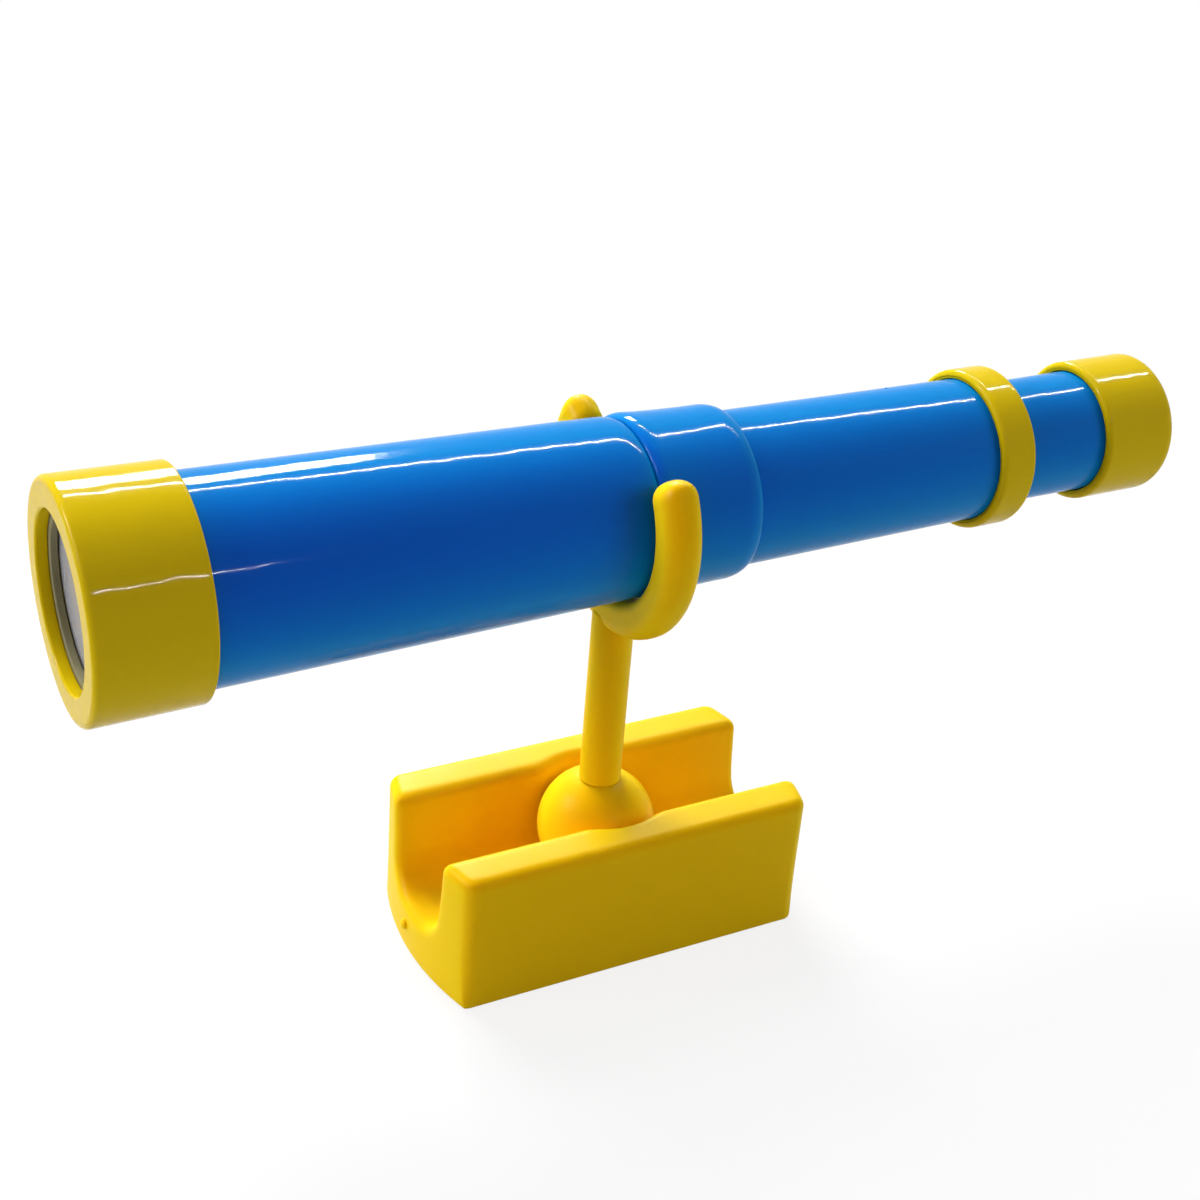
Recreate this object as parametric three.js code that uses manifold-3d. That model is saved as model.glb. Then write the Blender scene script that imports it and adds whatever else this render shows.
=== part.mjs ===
// Toy telescope on a ball-jointed stand, in millimetres with +Z up.
// The origin is the centre of the base's underside. X runs along the telescope, towards the eye.
import * as THREE from 'three';
import { mergeVertices } from 'three/addons/utils/BufferGeometryUtils.js';
import Module from 'manifold-3d';

const wasm = await Module();
wasm.setup();

// Clearances
const FIT = 0.3; // between pieces that are pushed or glued together
const RUN = 0.4; // between pieces that turn or slide on each other
const STOP_GAP = 0.5; // left at the end stops of the draw tubes

// Base
const BASE_LENGTH = 119.6;
const BASE_WIDTH = 59.4;
const BASE_HEIGHT = 44.5;
const BASE_BOW = 4.7; // how far the middle of each end stands out past its corners
const BASE_EDGE_RADIUS = 3;
const CHANNEL_TOP_WIDTH = 32;
const CHANNEL_FLOOR_WIDTH = 28;
const CHANNEL_FLOOR_HEIGHT = 15.5;
const CHANNEL_FLOOR_RADIUS = 11;
const SCREW_HOLE_SPACING = 76;
const SCREW_HOLE_RADIUS = 2.4;
const SCREW_HEAD_RADIUS = 4.8;

// Ball and stem
const BALL_RADIUS = 17.7;
const BALL_HEIGHT = 31.8; // of the ball's centre
const BALL_SNAP_LIP = 0.5; // how much narrower than the ball the mouth of its pocket is
const STEM_RADIUS = 6.15;
const STEM_SOCKET_DEPTH = 5;
const AXIS_ABOVE_BALL = 106.7; // from the ball's centre to the telescope's axis

// Clip that holds the barrel
const CLIP_WIDTH = 11;
const CLIP_THICKNESS = 11;
const CLIP_OUTER_RADIUS = 4.4;
const CLIP_INNER_RADIUS = 2.8;
const CLIP_TIP_ANGLE = 28.5; // degrees above the level, where each prong's rounded tip starts
const CLIP_RIB_HEIGHT = 0.9;
const CLIP_RIB_WIDTH = 2.4;

// Main barrel and its collar
const BARREL_LENGTH = 123.3; // shown between the cap and the groove
const BARREL_FRONT_RADIUS = 27.83;
const BARREL_REAR_RADIUS = 25.4;
const BARREL_WALL = 1.6;
const GROOVE_OFFSET = -0.7; // place of the groove along X, beside the stem's axis
const GROOVE_DEPTH = 1.1;
const GROOVE_SHOULDER = 5; // length over which the barrel rounds into the groove
const COLLAR_LENGTH = 31.5;
const COLLAR_FRONT_RADIUS = 25.8;
const COLLAR_WAIST_RADIUS = 25.2;
const COLLAR_REAR_RADIUS = 24.8;
const COLLAR_REAR_ROUNDING = 2.4;
const SPIGOT_LENGTH = 10;

// Objective end
const CAP_LENGTH = 30.6;
const CAP_FRONT_RADIUS = 31.5;
const CAP_REAR_RADIUS = 30.9;
const CAP_FACE = 3.3;
const CAP_EDGE_RADIUS = 1.8;
const CAP_OPENING_RADIUS = 23.2;
const OBJECTIVE_RING_WIDTH = 1.6;
const OBJECTIVE_RING_BORE = 21.4;
const OBJECTIVE_EDGE = 2.2;
const OBJECTIVE_BULGE = 1.4;

// Middle draw tube
const MIDDLE_LENGTH = 82; // shown between the collar and the end ring
const MIDDLE_FRONT_RADIUS = 22.2;
const MIDDLE_REAR_RADIUS = 21.06;
const MIDDLE_WALL = 1.6;
const END_RING_WIDTH = 11.8;
const END_RING_RADIUS = 23.93;
const END_RING_SEAT = 8; // how deep the middle tube sits in its end ring
const END_RING_EDGE_RADIUS = 1.4;
const STOP_RING_WIDTH = 6;
const TUBE_LEAD = 3; // length of a draw tube in front of its stop ring

// Eyepiece end
const EYE_LENGTH = 29.9; // shown between the end ring and the eyepiece cap
const EYE_RADIUS = 18.34;
const EYE_WALL = 1.5;
const EYE_CAP_LENGTH = 26.2;
const EYE_CAP_RADIUS = 21.2;
const EYE_CAP_FACE = 3;
const EYE_CAP_FRONT_ROUNDING = 1.4;
const EYE_CAP_REAR_ROUNDING = 3.6;
const EYE_OPENING_RADIUS = 12;
const EYE_LENS_EDGE = 2.4;
const EYE_LENS_BULGE = 1.2;
const EYE_RING_WIDTH = 1.6;
const EYE_RING_BORE = 13.5;

// Facets
const ROUND_SEGMENTS = 36;
const CORNER_STEPS = 4;
const CURVE_STEPS = 4;

// Places that follow from the sizes
const AXIS_HEIGHT = BALL_HEIGHT + AXIS_ABOVE_BALL;
const CAP_REAR_X = GROOVE_OFFSET - BARREL_LENGTH;
const CAP_FRONT_X = CAP_REAR_X - CAP_LENGTH;
const OBJECTIVE_RING_X = CAP_FRONT_X + CAP_FACE + FIT;
const OBJECTIVE_X = OBJECTIVE_RING_X + OBJECTIVE_RING_WIDTH + FIT + OBJECTIVE_BULGE;
const BARREL_FRONT_X = OBJECTIVE_X + OBJECTIVE_EDGE + OBJECTIVE_BULGE + FIT;
const COLLAR_REAR_X = GROOVE_OFFSET + COLLAR_LENGTH;
const SPIGOT_FRONT_X = GROOVE_OFFSET - SPIGOT_LENGTH;
const MIDDLE_STOP_X = SPIGOT_FRONT_X - STOP_GAP - STOP_RING_WIDTH;
const END_RING_X = COLLAR_REAR_X + MIDDLE_LENGTH;
const END_RING_REAR_X = END_RING_X + END_RING_WIDTH;
const MIDDLE_REAR_X = END_RING_X + END_RING_SEAT - FIT;
const EYE_STOP_X = MIDDLE_REAR_X - STOP_GAP - STOP_RING_WIDTH;
const EYE_CAP_X = END_RING_REAR_X + EYE_LENGTH;
const EYE_CAP_REAR_X = EYE_CAP_X + EYE_CAP_LENGTH;
const EYE_LENS_X = EYE_CAP_REAR_X - EYE_CAP_FACE - FIT - EYE_LENS_BULGE - EYE_LENS_EDGE;
const EYE_RING_X = EYE_LENS_X - EYE_LENS_BULGE - FIT - EYE_RING_WIDTH;
const EYE_REAR_X = EYE_RING_X - FIT;

// The barrel narrows evenly from the cap to the groove.
const barrelRadius = (x) => THREE.MathUtils.mapLinear(
  x, CAP_REAR_X, GROOVE_OFFSET, BARREL_FRONT_RADIUS, BARREL_REAR_RADIUS);
const barrelBore = (x) => barrelRadius(x) - BARREL_WALL;

// The middle tube is straight as far as the collar, and narrows from there to its end ring.
const middleRadius = (x) => THREE.MathUtils.mapLinear(
  Math.max(x, COLLAR_REAR_X), COLLAR_REAR_X, END_RING_X, MIDDLE_FRONT_RADIUS, MIDDLE_REAR_RADIUS);
const middleBore = (x) => middleRadius(x) - MIDDLE_WALL;

// Fits that follow from the sizes
const COLLAR_BORE = MIDDLE_FRONT_RADIUS + RUN;
const CAP_BORE = barrelRadius(BARREL_FRONT_X) + FIT;
const EYE_CAP_BORE = EYE_RADIUS + FIT;
const CLIP_BORE = Math.max(barrelRadius(-CLIP_WIDTH / 2), COLLAR_FRONT_RADIUS) + RUN;
const CLIP_RADIUS = CLIP_BORE + CLIP_THICKNESS;
const STEM_TOP = AXIS_HEIGHT - CLIP_RADIUS + STEM_SOCKET_DEPTH - FIT;

// Rounds the corners of an outline given as [x, y, radius]; no radius leaves a corner sharp.
function roundCorners(corners, steps = CORNER_STEPS) {
  const place = (index) => new THREE.Vector2(...corners.at(index % corners.length).slice(0, 2));
  return corners.flatMap(([x, y, radius = 0], index) => {
    const corner = new THREE.Vector2(x, y);
    if (radius === 0) {
      return [corner];
    }
    const before = place(index - 1).sub(corner).normalize();
    const after = place(index + 1).sub(corner).normalize();
    const halfAngle = Math.acos(before.dot(after)) / 2;
    const middle = before.clone().add(after).normalize();
    const centre = corner.clone().addScaledVector(middle, radius / Math.sin(halfAngle));
    const start = corner.clone().addScaledVector(before, radius / Math.tan(halfAngle));
    const turn = Math.sign(after.cross(before)) * (Math.PI - 2 * halfAngle);
    return Array.from({ length: steps + 1 }, (_, step) => (
      start.clone().rotateAround(centre, turn * step / steps)));
  });
}

// Merges the vertices that faces share, which leaves a closed mesh of positions only.
function closed(geometry) {
  geometry.deleteAttribute('normal');
  geometry.deleteAttribute('uv');
  return mergeVertices(geometry, 1e-4);
}

function toSolid(geometry) {
  const mesh = closed(geometry);
  return new wasm.Manifold(new wasm.Mesh({
    numProp: 3,
    vertProperties: new Float32Array(mesh.attributes.position.array),
    triVerts: new Uint32Array(mesh.index.array),
  }));
}

function toGeometry(solid) {
  const { vertProperties, triVerts } = solid.getMesh();
  const geometry = new THREE.BufferGeometry();
  geometry.setAttribute('position', new THREE.BufferAttribute(vertProperties, 3));
  geometry.setIndex(new THREE.BufferAttribute(triVerts, 1));
  return geometry;
}

// Turns an outline of [x, radius, corner radius] about X: outside first, from the front to the rear.
function turned(corners) {
  const outline = roundCorners(corners.map(([x, radius, rounding]) => [radius, x, rounding]));
  const onAxis = corners[0][1] === 0;
  const points = onAxis ? outline : [...outline, outline[0].clone()];
  return new THREE.LatheGeometry(points, ROUND_SEGMENTS).rotateZ(-Math.PI / 2);
}

function plainRing(x, width, outerRadius, bore) {
  return turned([[x, outerRadius], [x + width, outerRadius], [x + width, bore], [x, bore]]);
}

function lens(x, edge, radius, bulge) {
  const shares = Array.from({ length: CURVE_STEPS }, (_, step) => step / CURVE_STEPS);
  const front = shares.map((share) => [x - bulge * (1 - share ** 2), radius * share]);
  const rear = front.map(([place, reach]) => [2 * x + edge - place, reach]).reverse();
  return turned([...front, [x, radius], [x + edge, radius], ...rear]);
}

function upright(radius, bottom, top) {
  const height = top - bottom;
  return new THREE.CylinderGeometry(radius, radius, height, ROUND_SEGMENTS)
    .rotateX(Math.PI / 2)
    .translate(0, 0, bottom + height / 2);
}

// Channel section along X, with the top edges rounded
function channelBar() {
  const side = BASE_WIDTH / 2;
  const mouth = CHANNEL_TOP_WIDTH / 2;
  const floor = CHANNEL_FLOOR_WIDTH / 2;
  const section = roundCorners([
    [-side, 0],
    [side, 0],
    [side, BASE_HEIGHT, BASE_EDGE_RADIUS],
    [mouth, BASE_HEIGHT, BASE_EDGE_RADIUS],
    [floor, CHANNEL_FLOOR_HEIGHT, CHANNEL_FLOOR_RADIUS],
    [-floor, CHANNEL_FLOOR_HEIGHT, CHANNEL_FLOOR_RADIUS],
    [-mouth, BASE_HEIGHT, BASE_EDGE_RADIUS],
    [-side, BASE_HEIGHT, BASE_EDGE_RADIUS],
  ]);
  const alongX = new THREE.Matrix4().makeBasis(
    new THREE.Vector3(0, 1, 0), new THREE.Vector3(0, 0, 1), new THREE.Vector3(1, 0, 0));
  const bar = { depth: BASE_LENGTH, bevelEnabled: false };
  return new THREE.ExtrudeGeometry(new THREE.Shape(section), bar)
    .translate(0, 0, -BASE_LENGTH / 2)
    .applyMatrix4(alongX);
}

// Plan of the base, with bowed ends and rounded corners
function basePlan() {
  const end = [];
  for (let step = -CURVE_STEPS; step <= CURVE_STEPS; step += 1) {
    const share = step / CURVE_STEPS;
    const rounding = Math.abs(share) === 1 ? BASE_EDGE_RADIUS : 0;
    end.push([BASE_LENGTH / 2 - BASE_BOW * share ** 2, share * BASE_WIDTH / 2, rounding]);
  }
  const otherEnd = end.map(([x, y, rounding]) => [-x, -y, rounding]);
  const plan = new THREE.Shape(roundCorners([...end, ...otherEnd]));
  return new THREE.ExtrudeGeometry(plan, { depth: BASE_HEIGHT, bevelEnabled: false });
}

function baseChannel() {
  const pocketRadius = BALL_RADIUS + RUN;
  const pocket = new THREE.SphereGeometry(pocketRadius, ROUND_SEGMENTS, ROUND_SEGMENTS / 2)
    .translate(0, 0, BALL_HEIGHT);
  const mouth = upright(BALL_RADIUS - BALL_SNAP_LIP, BALL_HEIGHT, BASE_HEIGHT + FIT);
  let solid = toSolid(channelBar())
    .intersect(toSolid(basePlan()))
    .subtract(toSolid(pocket))
    .subtract(toSolid(mouth));
  for (const side of [-1, 1]) {
    const x = side * SCREW_HOLE_SPACING / 2;
    const headDepth = SCREW_HEAD_RADIUS - SCREW_HOLE_RADIUS;
    const hole = upright(SCREW_HOLE_RADIUS, -FIT, CHANNEL_FLOOR_HEIGHT).translate(x, 0, 0);
    const sink = new THREE.CylinderGeometry(
      SCREW_HEAD_RADIUS + FIT, SCREW_HOLE_RADIUS, headDepth + FIT, ROUND_SEGMENTS)
      .rotateX(Math.PI / 2)
      .translate(x, 0, CHANNEL_FLOOR_HEIGHT + (FIT - headDepth) / 2);
    solid = solid.subtract(toSolid(hole)).subtract(toSolid(sink));
  }
  return toGeometry(solid);
}

function swivelBall() {
  return new THREE.SphereGeometry(BALL_RADIUS, ROUND_SEGMENTS, ROUND_SEGMENTS / 2)
    .translate(0, 0, BALL_HEIGHT);
}

// Round stem whose lower end is hollowed to sit on the ball
function stem() {
  const seat = BALL_RADIUS + RUN;
  const points = [];
  for (let step = 0; step <= CURVE_STEPS; step += 1) {
    const reach = STEM_RADIUS * step / CURVE_STEPS;
    points.push(new THREE.Vector2(reach, BALL_HEIGHT + Math.sqrt(seat ** 2 - reach ** 2)));
  }
  points.push(new THREE.Vector2(STEM_RADIUS, STEM_TOP), new THREE.Vector2(0, STEM_TOP));
  return new THREE.LatheGeometry(points, ROUND_SEGMENTS).rotateX(Math.PI / 2);
}

// Open ring round the barrel, with a rib that runs in the groove and rounded prong tips
function clipFork() {
  const half = CLIP_WIDTH / 2;
  const ribFoot = CLIP_RIB_WIDTH / 2;
  const ring = toSolid(turned([
    [-half, CLIP_BORE, CLIP_INNER_RADIUS],
    [-half, CLIP_RADIUS, CLIP_OUTER_RADIUS],
    [half, CLIP_RADIUS, CLIP_OUTER_RADIUS],
    [half, CLIP_BORE, CLIP_INNER_RADIUS],
    [GROOVE_OFFSET + ribFoot, CLIP_BORE],
    [GROOVE_OFFSET, CLIP_BORE - CLIP_RIB_HEIGHT],
    [GROOVE_OFFSET - ribFoot, CLIP_BORE],
  ]));
  const tipAngle = THREE.MathUtils.degToRad(CLIP_TIP_ANGLE);
  const reach = 2 * CLIP_RADIUS;
  const tipSide = reach * Math.cos(tipAngle);
  const gap = new THREE.Shape([
    new THREE.Vector2(0, 0),
    new THREE.Vector2(tipSide, reach * Math.sin(tipAngle)),
    new THREE.Vector2(tipSide, reach),
    new THREE.Vector2(-tipSide, reach),
    new THREE.Vector2(-tipSide, reach * Math.sin(tipAngle)),
  ]);
  const wedge = new THREE.ExtrudeGeometry(gap, { depth: 2 * CLIP_WIDTH, bevelEnabled: false })
    .translate(0, 0, -CLIP_WIDTH)
    .rotateX(Math.PI / 2)
    .rotateZ(Math.PI / 2);
  const tipOutline = roundCorners([
    [0, CLIP_BORE],
    [half, CLIP_BORE, CLIP_INNER_RADIUS],
    [half, CLIP_RADIUS, CLIP_OUTER_RADIUS],
    [0, CLIP_RADIUS],
  ]);
  const tip = () => new THREE.LatheGeometry(tipOutline, ROUND_SEGMENTS);
  const socket = upright(STEM_RADIUS + RUN, STEM_TOP - STEM_SOCKET_DEPTH - CLIP_THICKNESS, STEM_TOP + FIT)
    .translate(0, 0, -AXIS_HEIGHT);
  const fork = ring
    .subtract(toSolid(wedge))
    .add(toSolid(tip().rotateX(tipAngle)))
    .add(toSolid(tip().rotateX(Math.PI - tipAngle)))
    .subtract(toSolid(socket));
  return toGeometry(fork);
}

function objectiveCap() {
  return turned([
    [CAP_FRONT_X, CAP_OPENING_RADIUS],
    [CAP_FRONT_X, CAP_FRONT_RADIUS, CAP_EDGE_RADIUS],
    [CAP_REAR_X, CAP_REAR_RADIUS],
    [CAP_REAR_X, barrelRadius(CAP_REAR_X) + FIT],
    [BARREL_FRONT_X, CAP_BORE],
    [CAP_FRONT_X + CAP_FACE, CAP_BORE],
    [CAP_FRONT_X + CAP_FACE, CAP_OPENING_RADIUS],
  ]);
}

function objectiveRing() {
  return plainRing(OBJECTIVE_RING_X, OBJECTIVE_RING_WIDTH, CAP_BORE - FIT, OBJECTIVE_RING_BORE);
}

function objectiveLens() {
  return lens(OBJECTIVE_X, OBJECTIVE_EDGE, CAP_BORE - FIT, OBJECTIVE_BULGE);
}

// Tapered tube whose rear end rounds over into the groove
function mainBarrel() {
  const rear = GROOVE_OFFSET - FIT / 2;
  const shoulder = rear - GROOVE_SHOULDER;
  const lip = barrelRadius(rear) - GROOVE_DEPTH;
  return turned([
    [BARREL_FRONT_X, barrelRadius(BARREL_FRONT_X)],
    [shoulder, barrelRadius(shoulder)],
    [rear - GROOVE_SHOULDER / 3, barrelRadius(rear) - GROOVE_DEPTH / 3],
    [rear, lip],
    [rear, barrelBore(rear)],
    [BARREL_FRONT_X, barrelBore(BARREL_FRONT_X)],
  ]);
}

// Waisted collar behind the groove, with a spigot inside the barrel
function barrelCollar() {
  const front = GROOVE_OFFSET + FIT / 2;
  const lip = barrelRadius(GROOVE_OFFSET) - GROOVE_DEPTH;
  const spigot = barrelBore(GROOVE_OFFSET) - FIT;
  const waist = (front + COLLAR_REAR_X) / 2;
  return turned([
    [SPIGOT_FRONT_X, COLLAR_BORE],
    [SPIGOT_FRONT_X, spigot],
    [front, spigot],
    [front, lip],
    [front + GROOVE_SHOULDER / 2, COLLAR_FRONT_RADIUS],
    [waist, COLLAR_WAIST_RADIUS],
    [COLLAR_REAR_X - COLLAR_REAR_ROUNDING, COLLAR_REAR_RADIUS],
    [COLLAR_REAR_X, COLLAR_REAR_RADIUS - COLLAR_REAR_ROUNDING / 2],
    [COLLAR_REAR_X, COLLAR_BORE],
  ]);
}

function middleTube() {
  const front = MIDDLE_STOP_X - TUBE_LEAD;
  return turned([
    [front, middleRadius(front)],
    [COLLAR_REAR_X, MIDDLE_FRONT_RADIUS],
    [MIDDLE_REAR_X, middleRadius(MIDDLE_REAR_X)],
    [MIDDLE_REAR_X, middleBore(MIDDLE_REAR_X)],
    [COLLAR_REAR_X, middleBore(COLLAR_REAR_X)],
    [front, middleBore(front)],
  ]);
}

function middleStopRing() {
  const outerRadius = barrelBore(MIDDLE_STOP_X + STOP_RING_WIDTH) - RUN;
  return plainRing(MIDDLE_STOP_X, STOP_RING_WIDTH, outerRadius, MIDDLE_FRONT_RADIUS + FIT);
}

function endRing() {
  const seat = middleRadius(END_RING_X) + FIT;
  const seatRear = END_RING_X + END_RING_SEAT;
  return turned([
    [END_RING_X, seat],
    [END_RING_X, END_RING_RADIUS, END_RING_EDGE_RADIUS],
    [END_RING_REAR_X, END_RING_RADIUS, END_RING_EDGE_RADIUS],
    [END_RING_REAR_X, EYE_RADIUS + RUN],
    [seatRear, EYE_RADIUS + RUN],
    [seatRear, seat],
  ]);
}

function eyeTube() {
  const front = EYE_STOP_X - TUBE_LEAD;
  return plainRing(front, EYE_REAR_X - front, EYE_RADIUS, EYE_RADIUS - EYE_WALL);
}

function eyeStopRing() {
  const outerRadius = middleBore(EYE_STOP_X + STOP_RING_WIDTH) - RUN;
  return plainRing(EYE_STOP_X, STOP_RING_WIDTH, outerRadius, EYE_RADIUS + FIT);
}

function eyeCap() {
  const seat = EYE_CAP_REAR_X - EYE_CAP_FACE;
  return turned([
    [EYE_CAP_X, EYE_CAP_BORE],
    [EYE_CAP_X, EYE_CAP_RADIUS, EYE_CAP_FRONT_ROUNDING],
    [EYE_CAP_REAR_X, EYE_CAP_RADIUS, EYE_CAP_REAR_ROUNDING],
    [EYE_CAP_REAR_X, EYE_OPENING_RADIUS],
    [seat, EYE_OPENING_RADIUS],
    [seat, EYE_CAP_BORE],
  ]);
}

function eyeLens() {
  return lens(EYE_LENS_X, EYE_LENS_EDGE, EYE_RADIUS, EYE_LENS_BULGE);
}

function eyeRing() {
  return plainRing(EYE_RING_X, EYE_RING_WIDTH, EYE_RADIUS, EYE_RING_BORE);
}

// Finishes, as [colour, roughness]
const CAP_YELLOW = [0xe0bc0c, 0.18];
const STAND_YELLOW = [0xe6b91c, 0.42];
const TUBE_BLUE = [0x0a63c8, 0.16];
const LENS_CLEAR = [0xb4b8bc, 0.05];
const RING_GREY = [0x7c7a68, 0.5];

function piece(name, geometry, [color, roughness]) {
  const shape = geometry.hasAttribute('normal') ? closed(geometry) : geometry;
  shape.computeVertexNormals();
  const mesh = new THREE.Mesh(shape, new THREE.MeshStandardMaterial({ color, roughness, metalness: 0 }));
  mesh.name = name;
  return mesh;
}

const stand = new THREE.Group();
stand.add(
  piece('base_channel', baseChannel(), STAND_YELLOW),
  piece('swivel_ball', swivelBall(), STAND_YELLOW),
  piece('stem', stem(), STAND_YELLOW),
);

// These pieces are made about the telescope's own axis.
const telescope = new THREE.Group();
telescope.position.z = AXIS_HEIGHT;
telescope.add(
  piece('clip_fork', clipFork(), STAND_YELLOW),
  piece('objective_cap', objectiveCap(), CAP_YELLOW),
  piece('objective_lens_ring', objectiveRing(), RING_GREY),
  piece('objective_lens', objectiveLens(), LENS_CLEAR),
  piece('main_barrel', mainBarrel(), TUBE_BLUE),
  piece('barrel_collar', barrelCollar(), TUBE_BLUE),
  piece('middle_tube', middleTube(), TUBE_BLUE),
  piece('middle_tube_stop_ring', middleStopRing(), TUBE_BLUE),
  piece('middle_tube_end_ring', endRing(), CAP_YELLOW),
  piece('eyepiece_tube', eyeTube(), TUBE_BLUE),
  piece('eyepiece_tube_stop_ring', eyeStopRing(), TUBE_BLUE),
  piece('eyepiece_cap', eyeCap(), CAP_YELLOW),
  piece('eyepiece_lens', eyeLens(), LENS_CLEAR),
  piece('eyepiece_lens_ring', eyeRing(), RING_GREY),
);

const toyTelescope = new THREE.Group();
toyTelescope.add(stand, telescope);

export default toyTelescope;
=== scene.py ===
# %% [markdown]
# # Toy telescope on a ball-jointed stand
# A blue toy spyglass with yellow caps sits in a yellow clip. The clip's stem ends in a ball, which
# swivels in a channel-shaped base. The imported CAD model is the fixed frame: every piece made here
# takes its place and its size from that frame, and rides on one of its moving bodies.

# %% Load the frame
import math

import bmesh
import bpy
from mathutils import Matrix, Vector


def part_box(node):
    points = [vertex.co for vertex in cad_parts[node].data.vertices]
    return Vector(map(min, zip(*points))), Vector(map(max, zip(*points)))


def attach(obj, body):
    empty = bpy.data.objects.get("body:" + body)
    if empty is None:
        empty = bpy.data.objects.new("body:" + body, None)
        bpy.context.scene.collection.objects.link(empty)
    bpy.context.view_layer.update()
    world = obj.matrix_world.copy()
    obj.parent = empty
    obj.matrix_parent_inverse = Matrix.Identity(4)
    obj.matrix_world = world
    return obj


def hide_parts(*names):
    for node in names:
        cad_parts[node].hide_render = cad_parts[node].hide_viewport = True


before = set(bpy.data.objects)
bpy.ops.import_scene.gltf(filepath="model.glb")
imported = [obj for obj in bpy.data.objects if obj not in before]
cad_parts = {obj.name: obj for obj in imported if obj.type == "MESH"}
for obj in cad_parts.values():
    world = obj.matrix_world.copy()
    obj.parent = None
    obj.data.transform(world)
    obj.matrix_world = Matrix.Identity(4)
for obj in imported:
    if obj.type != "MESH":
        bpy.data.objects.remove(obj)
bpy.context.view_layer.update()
scene = bpy.context.scene
scene.view_settings.view_transform = "Standard"
MM = 0.001

# %% [markdown]
# The camera comes first, because every later choice is judged through it. Its place, aim and roll
# come from fitting a pinhole camera to the outlines of the tubes and of the base. The photograph is
# slightly rolled, so the camera turns about its own line of sight too.

# %% Camera
CAMERA_PLACE = Vector((-243.4, -419.8, 383.4)) * MM
CAMERA_AIM = Vector((-4.8, 0.0, 109.8)) * MM
CAMERA_ROLL = math.radians(4.7)
CAMERA_LENS = 59.23  # millimetres
SENSOR_WIDTH = 36.0

camera_data = bpy.data.cameras.new("camera")
camera_data.lens = CAMERA_LENS
camera_data.sensor_width = SENSOR_WIDTH
camera = bpy.data.objects.new("camera", camera_data)
scene.collection.objects.link(camera)
look = (CAMERA_AIM - CAMERA_PLACE).to_track_quat("-Z", "Y").to_matrix().to_4x4()
roll = Matrix.Rotation(CAMERA_ROLL, 4, "Z")
camera.matrix_world = Matrix.Translation(CAMERA_PLACE) @ look @ roll
scene.camera = camera
print("camera", round((CAMERA_AIM - CAMERA_PLACE).length / MM), "mm from its aim")

# %% [markdown]
# The floor is white paper. It looks white to the camera and in reflections, and keeps a soft shadow
# under the object, which fades out with distance, so no horizon shows. As a source of light it is
# darker, so that the undersides of the tubes stay deep.

# %% Floor
FLOOR_SIZE = 6.0  # metres
FLOOR_BOUNCE = 0.5  # shade of the floor as it lights the object
FLOOR_SEEN = 0.9  # shade of the floor where the camera or a reflection sees it
FLOOR_GLOW = 0.82  # share of plain white in what is seen near the object
FLOOR_FADE = (0.25, 0.7)  # metres from the object over which that share grows to all


def new_material(name):
    material = bpy.data.materials.new(name)
    material.use_nodes = True
    tree = material.node_tree
    return material, tree, tree.nodes["Principled BSDF"]


def set_inputs(node, values):
    for name, value in values.items():
        node.inputs[name].default_value = value


def mesh_object(name, vertices, faces, edges=()):
    mesh = bpy.data.meshes.new(name)
    mesh.from_pydata([tuple(point) for point in vertices], list(edges), list(faces))
    mesh.validate()
    made = bpy.data.objects.new(name, mesh)
    scene.collection.objects.link(made)
    return made


def arithmetic(tree, operation, first, second=0.0):
    """Adds a Math node; each operand is a number or another node's output."""
    node = tree.nodes.new("ShaderNodeMath")
    node.operation = operation
    for socket, value in zip(node.inputs, (first, second)):
        if isinstance(value, (int, float)):
            socket.default_value = value
        else:
            tree.links.new(value, socket)
    return node.outputs[0]


def background_rays(tree):
    """1 for the rays that see the white background: the camera's, reflections and clear plastic."""
    path = tree.nodes.new("ShaderNodeLightPath").outputs
    shown = arithmetic(tree, "MAXIMUM", path["Is Camera Ray"], path["Is Glossy Ray"])
    return arithmetic(tree, "MAXIMUM", shown, path["Is Transmission Ray"])


def floor_finish():
    material, tree, shader = new_material("floor_paper")
    set_inputs(shader, {"Roughness": 0.9, "Specular IOR Level": 0.0})
    seen = background_rays(tree)
    shade = tree.nodes.new("ShaderNodeMapRange")
    set_inputs(shade, {"To Min": FLOOR_BOUNCE, "To Max": FLOOR_SEEN})
    tree.links.new(seen, shade.inputs["Value"])
    tree.links.new(shade.outputs["Result"], shader.inputs["Base Color"])
    away = tree.nodes.new("ShaderNodeVectorMath")
    away.operation = "LENGTH"
    place = tree.nodes.new("ShaderNodeTexCoord").outputs["Object"]
    tree.links.new(place, away.inputs[0])
    glow = tree.nodes.new("ShaderNodeMapRange")
    glow.interpolation_type = "SMOOTHSTEP"
    near, far = FLOOR_FADE
    set_inputs(glow, {"From Min": near, "From Max": far, "To Min": FLOOR_GLOW})
    tree.links.new(away.outputs["Value"], glow.inputs["Value"])
    share = arithmetic(tree, "MULTIPLY", seen, glow.outputs["Result"])
    mix = tree.nodes.new("ShaderNodeMixShader")
    tree.links.new(share, mix.inputs["Fac"])
    tree.links.new(shader.outputs["BSDF"], mix.inputs[1])
    tree.links.new(tree.nodes.new("ShaderNodeEmission").outputs["Emission"], mix.inputs[2])
    tree.links.new(mix.outputs["Shader"], tree.nodes["Material Output"].inputs["Surface"])
    return material


reach = FLOOR_SIZE / 2
corners = [(-reach, -reach, 0), (reach, -reach, 0), (reach, reach, 0), (-reach, reach, 0)]
floor = mesh_object("floor", corners, [(0, 1, 2, 3)])
floor.data.materials.append(floor_finish())
print("floor", FLOOR_SIZE, "m across")

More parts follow.
